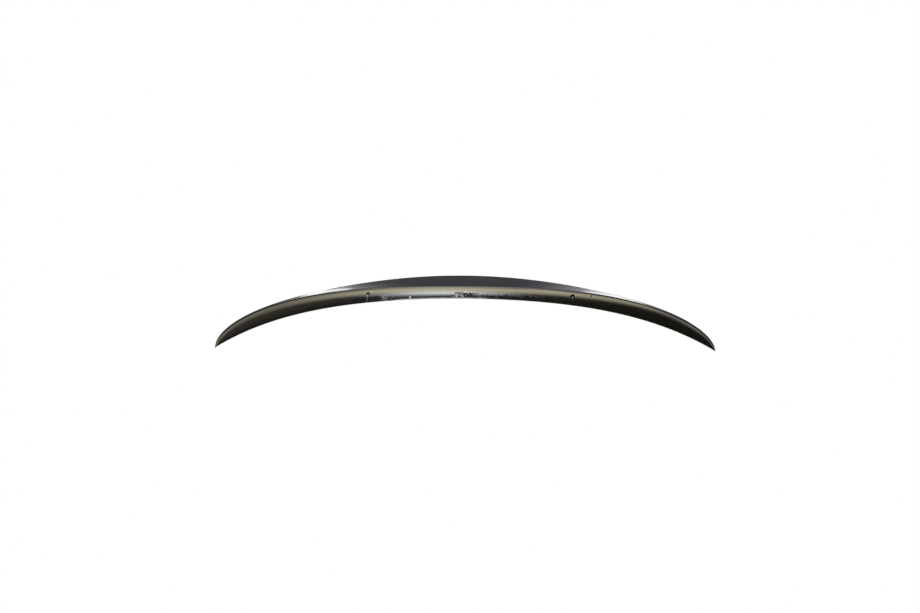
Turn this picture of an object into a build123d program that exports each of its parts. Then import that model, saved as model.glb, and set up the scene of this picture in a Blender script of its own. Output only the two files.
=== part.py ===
from build123d import *
import math
import os

# One-piece lip spoiler for a car's boot lid, as it sits on the car:
# +X to the car's right, +Y forward, +Z up, origin on the middle of the mounting face.

# Plan and elevation of the whole lip, in millimetres and degrees
span = 1200.0             # tip to tip
bow = 167.6               # how far the tips reach forward of the rear edge's middle
rear_fullness = 3.31      # exponent of the rear edge: straight in the middle
rear_corner = 0.608       # exponent of the rear edge: rounded at the outer corners
front_square = 0.441      # share of the front edge's sweep that is a square law
crown = 50.0              # how far the tips drop below the middle
deck_pitch = 10.0         # the boot lid rises this much towards the front

# Section at the middle of the car
chord = 39.0              # mounting face, front to rear
hollow = 2.6              # how deep the mounting face curves in over the lid's edge
lip_height = 25.7         # top of the lip above the rear edge
lip_overhang = 16.8       # the lip stands this far behind the rear edge
back_hollow = 0.3         # the rear face under the lip is slightly hollow
ramp_dip = 1.5            # the top face is slightly hollow up to the lip
lip_edge = 2.4            # blunt edge of the lip
lip_round = 2.5
heel_round = 2.2          # rounding of the rear lower edge
nose_height = 2.2         # blunt front edge
nose_round = 2.5

# How the section changes towards the tips
lip_fade = 3.7            # the higher, the sooner the lip sinks into the tips
tip_height = 5.2          # rear edge near the tips
tip_heel_round = 3.4      # rounding of the rear lower edge near the tips
tip_undercut = 3.6        # the rear face still leans in by up to this near the tips
tip_dome = 6.5            # the top face is domed near the tips
tip_softness = 6.0        # the edges thin out where the face is narrower than this
tip_end = 88.3            # last section, on a quarter turn that is 90 at the very tip
stations = 10             # sections from the middle to each tip
facets = 4                # each small rounding is this many narrow flats, true to 0.1 mm

# Fastening points in the mounting face, square to the ground
hole_spacing = 480.0
hole_offset = 19.0        # the pair sits this far to the right of the middle
hole_forward = 0.0        # the pair sits this far forward of the origin
hole_radius = 2.2
hole_depth = 5.0
seat_radius = 3.8
seat_level = -5.9         # height of both flat seats

half_span = span / 2
slope = math.tan(math.radians(deck_pitch))


def rear_line(s):
    return bow * (1 - (1 - s**rear_fullness) ** rear_corner) - chord / 2


def front_line(s):
    sweep = front_square * s**2 + (1 - front_square) * s**4
    return chord / 2 + (bow - chord) * sweep


def deck(s, y):
    return slope * y - crown * s**2 - hollow


def step(start, towards, length):
    return start + (towards - start).normalized() * length


def rounded(*corners):
    curve = Bezier(*corners)
    return Polyline(*[curve @ (i / facets) for i in range(facets + 1)]).edges()


def section(side):
    # side runs from -1 at the left tip to 1 at the right tip
    s = abs(side)
    x = half_span * side
    rear, front = rear_line(s), front_line(s)
    fade = (1 - s**2) ** lip_fade
    soft = 1 - math.exp(-(front - rear) / tip_softness)
    under = rear + tip_undercut * soft * s**6
    edge, heel, toe = (Vector(x, y, deck(s, y)) for y in (rear, under, front))
    face = toe - heel
    width = face.length
    breadth = width / chord
    up = Vector(0, -face.Z, face.Y).normalized()

    # Corners of the blunt lip and of the blunt front edge
    height = soft * (tip_height + (lip_height - tip_height) * fade)
    lip_top = edge + Vector(0, -lip_overhang * fade, height)
    lip_low = lip_top - Vector(0, 0, min(lip_edge, 0.4 * height))
    nose_top = toe + up * nose_height * soft
    lean = lip_low - heel
    back = lean.length
    heel_trim = tip_heel_round + (heel_round - tip_heel_round) * fade
    heel_rise = min(heel_trim, 0.6 * back)
    heel_reach = min(heel_trim, 0.15 * width)
    lip_trim = min(lip_round, 0.28 * back)
    nose_trim = min(nose_round, 0.2 * width)

    # The mounting face and the rear face are hollow, and the top face goes from hollow to domed
    rise = up * hollow * breadth * 4 / 3
    under_rear = heel + face / 3 + rise
    under_front = heel + face * 2 / 3 + rise
    scoop = Vector(0, lean.Z, -lean.Y) * back_hollow / lip_height * 4 / 3
    top = lip_top - nose_top
    out = Vector(0, top.Z, -top.Y).normalized()
    bulge = out * (tip_dome * breadth * (1 - fade) - ramp_dip * fade) * 4 / 3
    ramp_front = nose_top + top / 3 + bulge
    ramp_rear = nose_top + top * 2 / 3 + bulge

    heel_front = step(heel, under_rear, heel_reach)
    heel_back = step(heel, lip_low, heel_rise)
    toe_rear = step(toe, under_front, nose_trim)
    nose_rear = step(nose_top, ramp_front, nose_trim)
    lip_front = step(lip_top, ramp_rear, lip_trim)
    lip_back = step(lip_low, heel, lip_trim)
    rear_run = (heel_back - lip_back) / 3
    edges = [
        Bezier(heel_front, under_rear, under_front, toe_rear),
        *rounded(toe_rear, toe, nose_top, nose_rear),
        Bezier(nose_rear, ramp_front, ramp_rear, lip_front),
        *rounded(lip_front, lip_top, lip_low, lip_back),
        Bezier(lip_back, lip_back + rear_run + scoop, heel_back - rear_run + scoop, heel_back),
        *rounded(heel_back, heel, heel_front),
    ]
    return Face(Wire(edges))


def fastening(x):
    # A flat seat with a blind hole, both bored from below
    seat = Cylinder(seat_radius, crown, align=(Align.CENTER, Align.CENTER, Align.MAX))
    hole = Cylinder(hole_radius, hole_depth, align=(Align.CENTER, Align.CENTER, Align.MIN))
    return Pos(x, hole_forward, seat_level) * (seat + hole)


turns = [tip_end * i / stations for i in range(-stations, stations + 1)]
spoiler = loft([section(math.sin(math.radians(turn))) for turn in turns])
for x in (hole_offset - hole_spacing / 2, hole_offset + hole_spacing / 2):
    spoiler -= fastening(x)
spoiler.label = "spoiler"

os.makedirs("parts", exist_ok=True)
export_step(spoiler, "parts/spoiler.step")
print(f"spoiler: {spoiler.volume / 1000:.1f} cm3, solids {len(spoiler.solids())}")
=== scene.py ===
import bpy
import bmesh
import math
from mathutils import Matrix, Vector
from mathutils.geometry import interpolate_bezier


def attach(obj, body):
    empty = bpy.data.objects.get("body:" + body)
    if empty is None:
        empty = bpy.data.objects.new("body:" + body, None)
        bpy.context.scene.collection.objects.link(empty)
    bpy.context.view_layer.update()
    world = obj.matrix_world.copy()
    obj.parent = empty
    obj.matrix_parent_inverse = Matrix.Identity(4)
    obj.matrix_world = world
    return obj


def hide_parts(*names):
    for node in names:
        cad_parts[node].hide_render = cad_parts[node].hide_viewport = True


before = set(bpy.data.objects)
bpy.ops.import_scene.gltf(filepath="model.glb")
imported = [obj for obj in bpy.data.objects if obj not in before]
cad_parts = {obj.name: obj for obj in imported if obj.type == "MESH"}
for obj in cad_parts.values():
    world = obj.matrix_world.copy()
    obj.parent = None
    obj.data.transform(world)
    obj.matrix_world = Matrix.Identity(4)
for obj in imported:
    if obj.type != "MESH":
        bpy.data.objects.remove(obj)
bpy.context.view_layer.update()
scene = bpy.context.scene
scene.view_settings.view_transform = "Standard"
print("frame loaded")


# Camera: from behind and below, so the mounting face and the rear face under the lip show
camera = dict(place=(.13475, -1.68503, -2.47853), heading=4.653, tilt=145.0744, roll=4.1513,
              lens=50, sensor=36)


def setCamera(c):
    data = bpy.data.cameras.new("camera")
    data.lens, data.sensor_width = c["lens"], c["sensor"]
    cam = bpy.data.objects.new("camera", data)
    scene.collection.objects.link(cam)
    turn = lambda name, axis: Matrix.Rotation(math.radians(c[name]), 4, axis)
    cam.matrix_world = (Matrix.Translation(c["place"]) @ turn("heading", "Z") @ turn("tilt", "X")
                        @ turn("roll", "Z"))
    scene.camera = cam


setCamera(camera)
print("camera set")


# A socket with arithmetic: expressions on it add Math nodes
class Wire:
    def __init__(self, tree, socket=None):
        self.tree, self.socket = tree, socket

    def add(self, kind, settings=None, sockets=None, out=0):
        node = self.tree.nodes.new("ShaderNode" + kind)
        for name, value in (settings or {}).items():
            if name == "stops":  # a new ramp already has two
                for i, (place, colour) in enumerate(value):
                    stop = node.color_ramp.elements[i] if i < 2 else node.color_ramp.elements.new(place)
                    stop.position, stop.color = place, colour
            else:
                setattr(node, name, value)
        for name, value in (sockets or {}).items():
            if isinstance(value, Wire):
                self.tree.links.new(value.socket, node.inputs[name])
            else:
                node.inputs[name].default_value = value
        return Wire(self.tree, node.outputs[out] if len(node.outputs) else None)

    def math(self, operation, a, b=0.0):
        return self.add("Math", {"operation": operation}, {0: a, 1: b})

    def __add__(self, other): return self.math("ADD", self, other)
    def __radd__(self, other): return self.math("ADD", other, self)
    def __sub__(self, other): return self.math("SUBTRACT", self, other)
    def __rsub__(self, other): return self.math("SUBTRACT", other, self)
    def __mul__(self, other): return self.math("MULTIPLY", self, other)
    def __rmul__(self, other): return self.math("MULTIPLY", other, self)
    def __truediv__(self, other): return self.math("DIVIDE", self, other)
    def __abs__(self): return self.math("ABSOLUTE", self)

    def rise(self, low, high):  # 0 below low, 1 above high, smooth between
        limits = {0: self, 1: low, 2: high, 3: 0.0, 4: 1.0}
        return self.add("MapRange", {"interpolation_type": "SMOOTHSTEP"}, limits)

    def within(self, low, high, soft):
        return self.rise(low - soft, low + soft) * (1 - self.rise(high - soft, high + soft))

    def noise(self, scale, detail=2.0, rough=.5):
        grain = {"Vector": self, "Scale": scale, "Detail": detail, "Roughness": rough}
        return self.add("TexNoise", {}, grain, "Fac")

    def stretch(self, scale):
        return self.add("Mapping", {}, {"Vector": self, "Scale": scale})

    def blend(self, colour, other):  # self is the share of the other colour
        return self.add("Mix", {"data_type": "RGBA"}, {0: self, 6: colour, 7: other}, 2)

    def bump(self):  # self is a height in metres
        return self.add("Bump", {}, {"Height": self, "Distance": 1.0, "Strength": 1.0}, "Normal")


def newMaterial(name):
    material = bpy.data.materials.new(name)
    material.use_nodes = True
    material.node_tree.nodes.clear()
    return material, Wire(material.node_tree)


def rgb(r, g, b):
    return (r, g, b, 1)


def newPiece(bm, name, material=None):
    mesh = bpy.data.meshes.new(name)
    bm.to_mesh(mesh)
    bm.free()
    if material:
        mesh.materials.append(material)
    piece = bpy.data.objects.new(name, mesh)
    scene.collection.objects.link(piece)
    return piece


def shadeSmooth(bm):
    for f in bm.faces:
        f.smooth = True


# The lip itself, one moulding, by the same section law as the CAD part
lip = dict(
    span=1.2, bow=.1676, rearFullness=3.31, rearCorner=.608, frontSquare=.441, crown=.05, deckPitch=10,
    chord=.039, hollow=.0026, lipHeight=.0257, lipOverhang=.0168, backHollow=.0003, rampDip=.0015,
    lipEdge=.0024, lipRound=.0025, heelRound=.0022, noseHeight=.0022, noseRound=.0025,
    lipFade=3.7, tipHeight=.0052, tipHeelRound=.0034, tipUndercut=.0036, tipDome=.0065, tipSoftness=.006,
    tipEnd=88.3,
    most=dict(edge=.4, rise=.6, reach=.15, lip=.28, nose=.2),  # share of its face that an edge may take
    stations=110,  # sections from the middle to a tip
    steps=dict(face=26, nose=9, ramp=26, lip=11, back=9, heel=9),  # points along each stretch of a section
    tipCaps=((.85, .0002), (.55, .00032)),  # the end closes in these steps: size, reach
    merge=1e-6,
)


def step(start, towards, length):
    return start + (towards - start).normalized() * length


def sectionRing(c, turn):
    s = math.sin(math.radians(turn))
    x = c["span"] / 2 * s
    rear = c["bow"] * (1 - (1 - s ** c["rearFullness"]) ** c["rearCorner"]) - c["chord"] / 2
    sweep = c["frontSquare"] * s**2 + (1 - c["frontSquare"]) * s**4
    front = c["chord"] / 2 + (c["bow"] - c["chord"]) * sweep
    deck = lambda y: math.tan(math.radians(c["deckPitch"])) * y - c["crown"] * s**2 - c["hollow"]
    fade = (1 - s**2) ** c["lipFade"]
    soft = 1 - math.exp((rear - front) / c["tipSoftness"])
    under = rear + c["tipUndercut"] * soft * s**6
    edge, heel, toe = (Vector((x, y, deck(y))) for y in (rear, under, front))
    face = toe - heel
    width = face.length
    breadth = width / c["chord"]
    up = Vector((0, -face.z, face.y)).normalized()

    # Corners of the blunt lip and of the blunt front edge, and how far their roundings reach
    most = c["most"]
    height = soft * (c["tipHeight"] + (c["lipHeight"] - c["tipHeight"]) * fade)
    lipTop = edge + Vector((0, -c["lipOverhang"] * fade, height))
    lipLow = lipTop - Vector((0, 0, min(c["lipEdge"], most["edge"] * height)))
    noseTop = toe + up * c["noseHeight"] * soft
    lean = lipLow - heel
    back = lean.length
    heelTrim = c["tipHeelRound"] + (c["heelRound"] - c["tipHeelRound"]) * fade
    heelRise, heelReach = min(heelTrim, most["rise"] * back), min(heelTrim, most["reach"] * width)
    lipTrim, noseTrim = min(c["lipRound"], most["lip"] * back), min(c["noseRound"], most["nose"] * width)

    # The mounting face and the rear face are hollow, and the top face goes from hollow to domed.
    # The handles of a cubic stand out by 4/3 of its depth
    hollow = up * c["hollow"] * breadth * 4 / 3
    underRear, underFront = heel + face / 3 + hollow, heel + face * 2 / 3 + hollow
    scoop = Vector((0, lean.z, -lean.y)) * c["backHollow"] / c["lipHeight"] * 4 / 3
    top = lipTop - noseTop
    out = Vector((0, top.z, -top.y)).normalized()
    bulge = out * (c["tipDome"] * breadth * (1 - fade) - c["rampDip"] * fade) * 4 / 3
    rampFront, rampRear = noseTop + top / 3 + bulge, noseTop + top * 2 / 3 + bulge
    heelFront, heelBack = step(heel, underRear, heelReach), step(heel, lipLow, heelRise)
    toeRear, noseRear = step(toe, underFront, noseTrim), step(noseTop, rampFront, noseTrim)
    lipFront, lipBack = step(lipTop, rampRear, lipTrim), step(lipLow, heel, lipTrim)
    rearRun = (heelBack - lipBack) / 3
    stretches = dict(
        face=(heelFront, underRear, underFront, toeRear),
        nose=(toeRear, toe, noseTop, noseRear),
        ramp=(noseRear, rampFront, rampRear, lipFront),
        lip=(lipFront, lipTop, lipLow, lipBack),
        back=(lipBack, lipBack + rearRun + scoop, heelBack - rearRun + scoop, heelBack),
        heel=(heelBack, heelBack.lerp(heel, 2 / 3), heelFront.lerp(heel, 2 / 3), heelFront),
    )

    # Each point is marked for the finish: mounting face or not, place across it, and nearness to an edge
    ring = []
    for name, curve in stretches.items():
        count = c["steps"][name]
        for k, point in enumerate(interpolate_bezier(*curve, count + 1)[:-1]):
            t = k / count
            ring.append(dict(
                point=point,
                underside=dict(face=1, nose=1 - t, heel=t).get(name, 0),
                across=min(1, max(0, (point - heel).dot(face) / width**2)),
                edge=math.sin(math.pi * t) if name in ("nose", "lip", "heel") else 0,
            ))
    return ring


def buildLip(c):
    bm = bmesh.new()
    order = bm.verts.layers.int.new("order")
    marks = {name: bm.verts.layers.float.new(name) for name in ("underside", "across", "edge")}

    def place(verts, ring):
        for v in verts:
            spot = ring[v[order]]
            v.co = spot["point"]
            for name, layer in marks.items():
                v[layer] = spot[name]

    def grow(edges):
        grown = bmesh.ops.extrude_edge_only(bm, edges=edges)["geom"]
        verts = [g for g in grown if isinstance(g, bmesh.types.BMVert)]
        return verts, [g for g in grown if isinstance(g, bmesh.types.BMEdge) and g.is_boundary]

    # One loop at the middle of the car, pulled out section by section to the right tip
    verts = bmesh.ops.create_circle(bm, segments=sum(c["steps"].values()), radius=c["chord"] / 2)["verts"]
    for i, v in enumerate(verts):
        v[order] = i
    place(verts, sectionRing(c, 0))
    edges = bm.edges[:]
    for k in range(1, c["stations"] + 1):
        verts, edges = grow(edges)
        place(verts, sectionRing(c, c["tipEnd"] * k / c["stations"]))

    # The tip closes in a small cap, and the left half mirrors the right one
    middle = sum((v.co for v in verts), Vector()) / len(verts)
    reached = 1
    for size, reach in c["tipCaps"]:
        verts, edges = grow(edges)
        for v in verts:
            v.co = middle + (v.co - middle) * size / reached
            v.co.x = middle.x + reach
        reached = size
    bmesh.ops.edgeloop_fill(bm, edges=edges)
    bmesh.ops.mirror(bm, geom=bm.verts[:] + bm.edges[:] + bm.faces[:], axis="X", merge_dist=c["merge"])
    bmesh.ops.recalc_face_normals(bm, faces=bm.faces)
    shadeSmooth(bm)
    piece = newPiece(bm, "lipSpoiler")
    piece.data.attributes.remove(piece.data.attributes["order"])
    return piece


spoiler = buildLip(lip)
print("lip built,", len(spoiler.data.polygons), "faces")


# Two fastening points in the mounting face and the nick beside the right one
bores = dict(
    x=(-.221, .259), y=0, seatLevel=-.0059, seatRadius=.0038, holeRadius=.0022, holeDepth=.005,
    softEdge=.0003, facets=48, merge=1e-6,
    drop=.03,  # the cutter reaches this far below the seat
    nick=dict(place=(.3023, -.0007, -.0138), size=(.0026, .0075, .005), round=.0009, roundSteps=4),
    cut=dict(across=.3, beyond=.001, below=.001),  # mark of the cut points, and where they are looked for
    sharp=42,  # edges that turn more than this stay sharp
)


def boreCutter(b, x, material):
    bm = bmesh.new()
    e, hole, seat, deep = b["softEdge"], b["holeRadius"], b["seatRadius"], b["holeDepth"]
    profile = ((0, deep), (hole - e, deep), (hole, deep - e), (hole, e), (hole + e, 0), (seat - e, 0),
               (seat, -e), (seat, -b["drop"]), (0, -b["drop"]))
    verts = [bm.verts.new((r, 0, z)) for r, z in profile]
    edges = [bm.edges.new(pair) for pair in zip(verts, verts[1:])]
    bmesh.ops.spin(bm, geom=verts + edges, axis=(0, 0, 1), cent=(0, 0, 0), angle=2 * math.pi,
                   steps=b["facets"], use_merge=True)
    bmesh.ops.remove_doubles(bm, verts=bm.verts, dist=b["merge"])
    bmesh.ops.recalc_face_normals(bm, faces=bm.faces)
    bmesh.ops.translate(bm, verts=bm.verts, vec=(x, b["y"], b["seatLevel"]))
    shadeSmooth(bm)
    return newPiece(bm, "bore", material)


def nickCutter(n, material):
    bm = bmesh.new()
    bmesh.ops.create_cube(bm, size=1)
    bmesh.ops.scale(bm, verts=bm.verts, vec=n["size"])
    bmesh.ops.bevel(bm, geom=bm.edges[:], offset=n["round"], segments=n["roundSteps"], profile=.5,
                    affect="EDGES", material=-1)
    bmesh.ops.translate(bm, verts=bm.verts, vec=n["place"])
    shadeSmooth(bm)
    return newPiece(bm, "nick", material)


def cutOut(piece, cutters):
    for tool in cutters:
        cut = piece.modifiers.new("cut", "BOOLEAN")
        cut.operation, cut.solver, cut.material_mode, cut.object = "DIFFERENCE", "EXACT", "TRANSFER", tool
    graph = bpy.context.evaluated_depsgraph_get()
    mesh = bpy.data.meshes.new_from_object(piece.evaluated_get(graph), preserve_all_data_layers=True,
                                           depsgraph=graph)
    piece.modifiers.clear()
    piece.data = mesh
    for tool in cutters:
        bpy.data.objects.remove(tool)
    mesh.name = piece.name


def markBores(piece, b):
    # Points that the cuts made lie on the mounting face, so they take its marks
    cut = b["cut"]
    spots = [Vector((x, b["y"])) for x in b["x"]] + [Vector(b["nick"]["place"][:2])]
    near = lambda co: any((co.xy - spot).length < b["seatRadius"] + cut["beyond"] for spot in spots)
    bm = bmesh.new()
    bm.from_mesh(piece.data)
    underside = bm.verts.layers.float["underside"]
    across = bm.verts.layers.float["across"]
    for v in bm.verts:
        if v[underside] == 0 and v.co.z < cut["below"] and near(v.co):
            v[underside], v[across] = 1, cut["across"]
    bm.to_mesh(piece.data)
    bm.free()
    piece.data.set_sharp_from_angle(angle=math.radians(b["sharp"]))


# Gloss black moulding: clean gloss above, and below a duller mounting face with marks of tape and fixings,
# painted shade in the two seats and a few painted highlights.
# A mark lies along x in metres, and across the face from 0 at the rear to 1 at the front edge
gloss = dict(
    top=rgb(.0012, .0012, .0015), under=rgb(.0010, .0010, .0010), topRough=.09, underRough=.10, ior=1.5,
    border=(.25, .75),  # the two finishes meet between these values of the underside mark
    soft=(.008, .03),  # how softly a mark ends along and across, unless it says so itself
    # Noise that several marks share: scale per metre, detail, roughness
    clouds=(38, 5, .6), blotch=(210, 4, .62), fleck=(520, 3, .6),
    cloudRough=.05,
    # Hair scratches, sink and ripple of the moulding, orange peel of the paint
    hair=dict(stretch=(14, 900, 900), cover=(.66, .72), rough=.06, depth=.000004),
    ripple=dict(stretch=(.5, 1, 1), scale=26, height=.0001),
    peel=dict(scale=330, height=.0000025, under=.5),  # half as high on the mounting face
    dust=dict(
        colour=rgb(.16, .145, .12), rough=.4, speck=(1500, 2, .5), speckCover=(.70, .76),
        top=dict(cover=(.5, .8), film=.003, specks=.005),
        under=dict(cover=(.40, .75), film=.004, specks=.002),
    ),
    chips=dict(colour=rgb(.17, .17, .175), rough=.25, cover=(.62, .68), share=.35),
    # Dull dark residue, and the dull dark rings at the seats that are painted shade of the seat recesses:
    # where, its grain per metre and how much of the ground it takes
    scabAndShade=dict(colours=(rgb(.003, .003, .003), rgb(.014, .014, .016)), cover=(.4, .7), rough=.9, depth=.00005),
    torn=(3, .6),  # detail and roughness of its grain
    tapeLine=dict(x=(-.165, .075), across=(.775, .86), wave=(34, 0, 0), sway=.10, grain=210, cover=(.32, .42),
                  share=.9),
    residue=(
        dict(x=(-.017, .005), across=(.475, .63), soft=.003, grain=210, cover=(.44, .50), share=.85),
        dict(x=(.002, .024), across=(.53, .82), soft=.003, grain=150, cover=(.40, .46), share=1),
        dict(x=(.022, .038), across=(.52, .80), soft=.004, grain=210, cover=(.46, .52), share=.9),
        dict(x=(-.0255, -.0205), across=(.70, .79), soft=.0015, grain=60, cover=(.1, .2), share=.9),
        dict(x=(-.262, -.193), across=(.58, 1.05), soft=.007, grain=130, cover=(.30, .46), share=.68),
        dict(x=(-.178, -.146), across=(.72, .97), grain=190, cover=(.42, .54), share=.8),
        dict(x=(.04, .10), across=(.70, .90), grain=90, cover=(.42, .52), share=.9),
        dict(x=(.10, .20), across=(.60, .88), grain=80, cover=(.44, .54), share=.9),
        dict(x=(.05, .15), across=(.54, .72), grain=210, cover=(.54, .62), share=.7),
        dict(x=(-.10, .06), across=(.18, .60), grain=640, cover=(.63, .68), share=.8),
        dict(x=(.556, .64), across=(-.1, 1.1), soft=.018, grain=60, cover=(.1, .2), share=.52),  # right tip
    ),
    # painted shade: dull dark rings round the two seats stand in for the shade in their recesses
    seatShade=((-.2206, -.0008, .0034, .0044), (.2586, .0036, .0050, .0062)),  # seats' rings: x, y, inner, outer
    # White crumbs on the torn patches, with gaps between them
    pale=dict(colour=rgb(.66, .67, .67), rough=.4),
    crumbs=dict(x=(-.024, .010), across=(.74, .86), soft=.003, grain=260, width=(.016, .045), gaps=130,
                gapCover=(.38, .48), share=.9),
    # Grey marks, some rubbed and some painted highlight: a painted highlight along the front edge, streaks, a
    # line from each hole and single flecks, two of which are painted highlights at the seats
    rubbedAndHighlight=dict(colour=rgb(.42, .41, .44), rough=.35),
    rim=dict(x=(-.165, .05), across=(.87, .92), soft=.02, cover=(.28, .56), share=.6),
    streaks=dict(stretch=(420, 14, 14), cover=(.38, .62)),
    streaked=(
        dict(x=(-.193, -.179), across=(.58, .98), soft=.005, share=.21),
        dict(x=(.034, .062), across=(.66, .96), share=.16),
    ),
    rub=dict(core=.3, soft=.05, cover=(.25, .50)),
    rubs=(
        dict(x=-.2222, lean=-.0092, width=.0013, across=(.42, 1.1), share=.36),
        dict(x=.2586, lean=.002, width=.0014, across=(.46, .66), share=.08),
    ),
    ragged=dict(by=2, cover=(.35, 1.1)),  # outline of a fleck
    flecks=(  # x, across, half sizes, share
        # the fleck at (-.2150, .24) is a painted glint at the left seat's edge, and the one at (.2587, .46) is
        # a painted highlight on the right seat's lit front wall
        (-.1228, .80, .0026, .09, .9), (-.2150, .24, .0036, .035, .32), (.304, .28, .0022, .05, .3),
        (-.0150, .80, .0026, .04, .7), (.0095, .44, .005, .045, .5), (.2587, .46, .0022, .055, .6),
    ),
    # the painted highlights among these grey marks stand up by this too
    markHeight=.00003,  # pale and rubbed marks stand up by this
)


def glossBlack(g):
    material, w = newMaterial("glossBlack")
    spot = w.add("TexCoord", {}, {}, "Object")
    x, y = (w.add("SeparateXYZ", {}, {0: spot}, axis) for axis in "XY")
    mark = lambda name: w.add("Attribute", {"attribute_name": name}, {}, "Fac")
    underside, across, edge = mark("underside").rise(*g["border"]), mark("across"), mark("edge")
    most = lambda a, b: w.math("MAXIMUM", a, b)
    along, aside = g["soft"]
    zone = lambda p, level: x.within(*p["x"], p.get("soft", along)) * level.within(*p["across"], aside)
    clouds, blotch, fleck = (spot.noise(*g[name]) for name in ("clouds", "blotch", "fleck"))
    hair = spot.stretch(g["hair"]["stretch"]).noise(1).rise(*g["hair"]["cover"]) * underside

    # Dull dark residue: a line of old tape near the front edge, torn patches, a dull tip; and dull dark rings
    # at the seats, which are painted shade of the seat recesses
    tape = g["tapeLine"]
    swayed = across + (spot.stretch(tape["wave"]).noise(1) - .5) * tape["sway"]
    torn = lambda p: spot.noise(p["grain"], *g["torn"]).rise(*p["cover"]) * p["share"]
    dull = zone(tape, swayed) * torn(tape)
    for p in g["residue"]:
        dull = most(dull, zone(p, across) * torn(p))
    # painted shade of the seat recesses, laid as dull dark rings
    for px, py, inner, outer in g["seatShade"]:
        away = w.math("POWER", (x - px) * (x - px) + (y - py) * (y - py), .5)
        dull = most(dull, 1 - away.rise(inner, outer))
    dull = dull * underside

    # Pale marks: crumbs on the torn patches, a painted highlight along the front edge, streaks, a rub from
    # each hole, flecks, two of which are painted highlights at the seats
    c = g["crumbs"]
    thread = 1 - abs(spot.noise(c["grain"]) - .5).rise(*c["width"])
    pale = zone(c, across) * thread * spot.noise(c["gaps"]).rise(*c["gapCover"]) * c["share"]
    # painted highlight: a grey band, broken by noise, along the middle of the front edge where its rounding
    # catches light
    r = g["rim"]
    rubbedAndHighlight = across.rise(*r["across"]) * x.within(*r["x"], r["soft"]) * blotch.rise(*r["cover"]) * r["share"]
    streak = spot.stretch(g["streaks"]["stretch"]).noise(1).rise(*g["streaks"]["cover"])
    for p in g["streaked"]:
        rubbedAndHighlight = most(rubbedAndHighlight, zone(p, across) * streak * p["share"])
    rub = g["rub"]
    for p in g["rubs"]:
        line = x - p["x"] - (across - p["across"][0]) * p["lean"] + (blotch - .5) * p["width"]
        strip = 1 - abs(line).rise(p["width"] * rub["core"], p["width"])
        strip = strip * across.within(*p["across"], rub["soft"])
        rubbedAndHighlight = most(rubbedAndHighlight, strip * fleck.rise(*rub["cover"]) * p["share"])
    ragged = (fleck - .5) * g["ragged"]["by"]
    # pale flecks, two of them painted highlights at the seats
    for place, level, wide, tall, share in g["flecks"]:
        off = w.math("POWER", (x - place) / wide, 2.0) + w.math("POWER", (across - level) / tall, 2.0)
        rubbedAndHighlight = most(rubbedAndHighlight, (1 - (off + ragged).rise(*g["ragged"]["cover"])) * share)
    rubbedAndHighlight, pale = rubbedAndHighlight * underside, pale * underside
    dull = dull * (1 - most(rubbedAndHighlight, pale))

    # Chipped edges and a little dust
    chips = edge * (fleck * .5 + blotch * .5).rise(*g["chips"]["cover"]) * underside * g["chips"]["share"]
    dust = g["dust"]
    speck = spot.noise(*dust["speck"]).rise(*dust["speckCover"])
    settled = lambda p: clouds.rise(*p["cover"]) * p["film"] + speck * p["specks"]
    dusty = underside * settled(dust["under"]) + (1 - underside) * settled(dust["top"])

    colour = underside.blend(g["top"], g["under"])
    rough = g["topRough"] + underside * (g["underRough"] - g["topRough"])
    rough = rough + (clouds - .5) * g["cloudRough"] + hair * g["hair"]["rough"]
    # the grey colour here carries rubbed marks and painted highlights alike
    for name, share in (("dust", dusty), ("chips", chips), ("rubbedAndHighlight", rubbedAndHighlight), ("pale", pale)):
        colour = share.blend(colour, g[name]["colour"])
        rough = rough + share * g[name]["rough"]
    ripple, peel = g["ripple"], g["peel"]
    height = spot.stretch(ripple["stretch"]).noise(ripple["scale"]) * underside * ripple["height"]
    height = height + spot.noise(peel["scale"]) * (1 - underside * peel["under"]) * peel["height"]
    height = height - hair * g["hair"]["depth"] + (pale + rubbedAndHighlight) * g["markHeight"]
    height = height - dull * g["scabAndShade"]["depth"]
    bump = height.bump()
    shader = w.add("BsdfPrincipled", {}, {"Base Color": colour, "Roughness": rough, "Normal": bump,
                                          "IOR": g["ior"]})
    crust = fleck.rise(*g["scabAndShade"]["cover"]).blend(*g["scabAndShade"]["colours"])
    # dull dark shader for the residue and for the painted shade at the seats
    scabAndShade = w.add("BsdfPrincipled", {}, {"Base Color": crust, "Roughness": g["scabAndShade"]["rough"], "Normal": bump,
                                        "Specular IOR Level": 0.0})
    w.add("OutputMaterial", {}, {"Surface": w.add("MixShader", {}, {0: dull, 1: shader, 2: scabAndShade})})
    return material


# The bores show dull bare plastic, scraped a little
bareSeat = dict(
    colour=rgb(.0008, .0008, .0008), scraped=rgb(.02, .02, .02), grain=(900, 3, .6), cover=(.55, .75),
    rough=.6, grainRough=.2, grainHeight=.00006,
)


def boredPlastic(b):
    material, w = newMaterial("boredPlastic")
    grain = w.add("TexCoord", {}, {}, "Object").noise(*b["grain"])
    colour = grain.rise(*b["cover"]).blend(b["colour"], b["scraped"])
    rough = b["rough"] + grain * b["grainRough"]
    shader = w.add("BsdfPrincipled", {}, {"Base Color": colour, "Roughness": rough, "Specular IOR Level": 0.0,
                                          "Normal": (grain * b["grainHeight"]).bump()})
    w.add("OutputMaterial", {}, {"Surface": shader})
    return material


spoiler.data.materials.append(glossBlack(gloss))
bored = boredPlastic(bareSeat)
cutOut(spoiler, [boreCutter(bores, x, bored) for x in bores["x"]] + [nickCutter(bores["nick"], bored)])
markBores(spoiler, bores)
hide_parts("spoiler")
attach(spoiler, "root")
print("bores cut,", len(spoiler.data.polygons), "faces")


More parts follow.
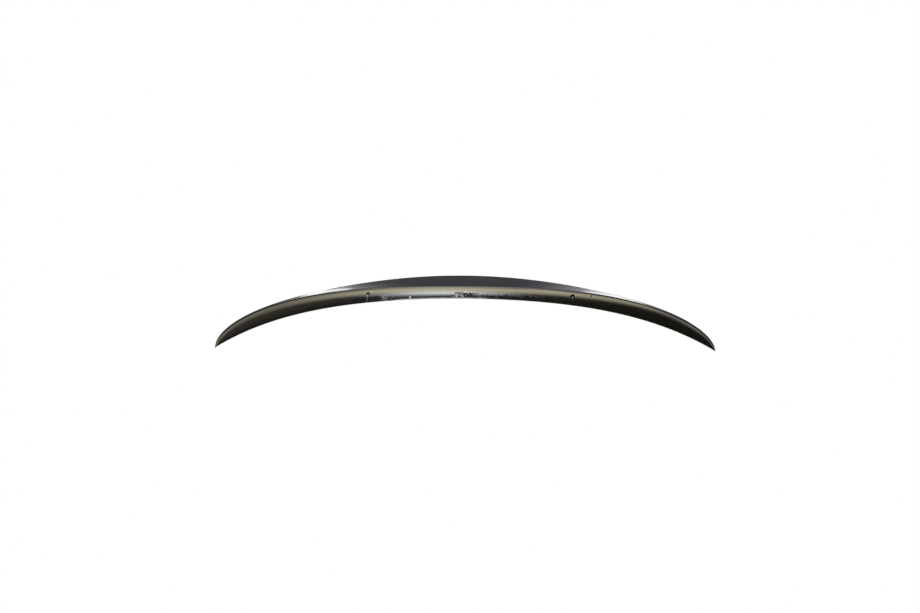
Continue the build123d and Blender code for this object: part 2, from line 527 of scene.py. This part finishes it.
# Plain pale floor, well below, and soft studio light from a graded sky and oval panels
studio = dict(
    floor=dict(  # shown and lift make it even and pale to look at
        level=-3.2, size=600, rough=.8, colour=rgb(.8, .8, .8), shown=rgb(.2, .2, .2), lift=rgb(.58, .58, .58),
    ),
    sky=dict(  # tilt above the horizon and brightness, before and behind the car
        frontTint=(1.04, 1, .74),
        front=((-90, .4), (-65, .127), (-45, .132), (-30, .058), (-20, .48), (-12.5, 1.62), (-9, .4),
               (-5, .02), (30, .02), (50, .027), (90, .6)),
        rearTint=(.98, .99, 1.12),
        rear=((-90, .4), (-65, .35), (-45, .35), (-30, .6), (-20, 1.111), (-12, .981), (-5, .822), (5, .829),
              (15, .916), (30, .5), (50, .35), (90, .02)),
        meet=(-.3, .3),  # the rear gives way to the front between these
    ),
    # Ovals: place, half sizes, facing, turn in their own plane, even core, colour, power
    lamps=dict(
        warmMiddle=dict(place=(-.0898, 1.2, -.5527), half=(.4399, .4951), face=(0, -1, 0), core=.106,
                        colour=(1, .9, .64), power=6.47),
        warmRight=dict(place=(.2124, 1.206, .0734), half=(.1542, .7241), face=(0, -1, 0), core=.8,
                       colour=(1, .89, .62), power=2.12),
        coolMiddle=dict(place=(-.1065, 1.212, -1.0043), half=(.2062, .50), face=(0, -1, 0), core=.01,
                        colour=(.87, .94, 1), power=13),
        coolLow=dict(place=(-.1578, 1.218, -2), half=(.1578, 1.2), face=(0, -1, 0), core=.319,
                     colour=(.91, .935, 1), power=3.29),
        fillLeft=dict(place=(-.5308, 1.224, -.176), half=(1.1278, 2.4999), face=(0, -1, 0), core=.01,
                      colour=(1, .89, .75), power=.5),
        rearLeft=dict(place=(-1.3069, -2.8, -.2774), half=(.469, .3941), face=(0, 1, 0), core=.827,
                      colour=(1, 1, 1), power=15.1),
        rearRight=dict(place=(1.382, -2.806, .0097), half=(.6684, .5797), face=(0, 1, 0), core=.862,
                       colour=(1, 1, 1), power=15.1),
        haloLeft=dict(place=(-1.6427, -2.812, -.2968), half=(1.4434, 1.1275), face=(0, 1, 0), core=.01,
                      colour=(1, 1, 1), power=8.84),
        haloRight=dict(place=(1.6314, -2.818, -.3395), half=(1.5993, 1.5996), face=(0, 1, 0), core=.2,
                       colour=(1, 1, 1), power=8.95),
        tallLeft=dict(place=(-1.88, -2.824, 2.1), half=(.36, 2.6), face=(0, 1, 0), turn=-14, core=.5,
                      colour=(1, 1, 1), power=24),
        tallRight=dict(place=(1.78, -2.83, 2.3), half=(.8, 2.5), face=(0, 1, 0), turn=12, core=.3,
                       colour=(1, 1, 1), power=20),
        below=dict(place=(-.0912, -.9, -1.5), half=(.7, .6048), face=(0, 0, 1), core=.012,
                   colour=(1, .86, .74), power=16.9),
        overhead=dict(place=(0, .4, 2.6), half=(1.6, .8), face=(0, -.1, -1), core=.4,
                      colour=(1, 1, 1), power=5),
    ),
)
black, white = rgb(0, 0, 0), rgb(1, 1, 1)


def plate(name, half, level, material):
    bm = bmesh.new()
    bmesh.ops.create_grid(bm, x_segments=1, y_segments=1, size=half)
    bmesh.ops.translate(bm, verts=bm.verts, vec=(0, 0, level))
    return newPiece(bm, name, material)


def lamp(name, p):
    material, w = newMaterial(name)
    spot = w.add("TexCoord", {}, {}, "Object")
    out = w.add("VectorMath", {"operation": "LENGTH"}, {0: spot}, "Value")
    falloff = out.rise(p["core"], 1).blend(rgb(*p["colour"]), black)
    glow = w.add("Emission", {}, {"Color": falloff, "Strength": p["power"]})
    clear = w.add("BsdfTransparent")  # a panel adds to what shines through it
    w.add("OutputMaterial", {}, {"Surface": w.add("AddShader", {}, {0: glow, 1: clear})})
    panel = plate(name, 1, 0, material)  # sized and placed by its matrix
    turned = Vector(p["face"]).to_track_quat("Z", "Y").to_matrix().to_4x4()
    turned = turned @ Matrix.Rotation(math.radians(p.get("turn", 0)), 4, "Z")
    panel.matrix_world = Matrix.Translation(p["place"]) @ turned @ Matrix.Diagonal((*p["half"], 1, 1))
    panel.visible_camera = False


def layFloor(f):
    material, w = newMaterial("floor")
    seen = w.add("LightPath", {}, {}, "Is Camera Ray")
    pale = w.add("BsdfPrincipled", {}, {"Base Color": seen.blend(f["colour"], f["shown"]),
                                        "Emission Color": seen.blend(black, f["lift"]),
                                        "Emission Strength": 1.0, "Roughness": f["rough"],
                                        "Specular IOR Level": 0.0})
    w.add("OutputMaterial", {}, {"Surface": pale})
    floor = plate("floor", f["size"] / 2, f["level"], material)
    floor.visible_glossy = False


def lightSky(s):
    world = bpy.data.worlds.new("studio")
    scene.world = world
    world.use_nodes = True
    world.node_tree.nodes.clear()
    w = Wire(world.node_tree)
    spot = w.add("TexCoord", {}, {}, "Generated")
    forward, height = (w.add("SeparateXYZ", {}, {0: spot}, axis) for axis in "YZ")

    def band(side):
        stops = [((math.sin(math.radians(tilt)) + 1) / 2, rgb(*(level * part for part in s[side + "Tint"])))
                 for tilt, level in s[side]]
        return w.add("ValToRGB", {"stops": stops}, {"Fac": height * .5 + .5}, "Color")

    glow = forward.rise(*s["meet"]).blend(band("rear"), band("front"))
    seen = w.add("LightPath", {}, {}, "Is Camera Ray")
    sky = w.add("Background", {}, {"Color": seen.blend(glow, white), "Strength": 1.0})
    w.add("OutputWorld", {}, {"Surface": sky})


layFloor(studio["floor"])
lightSky(studio["sky"])
for name, settings in studio["lamps"].items():
    lamp(name, settings)
print("studio lit")
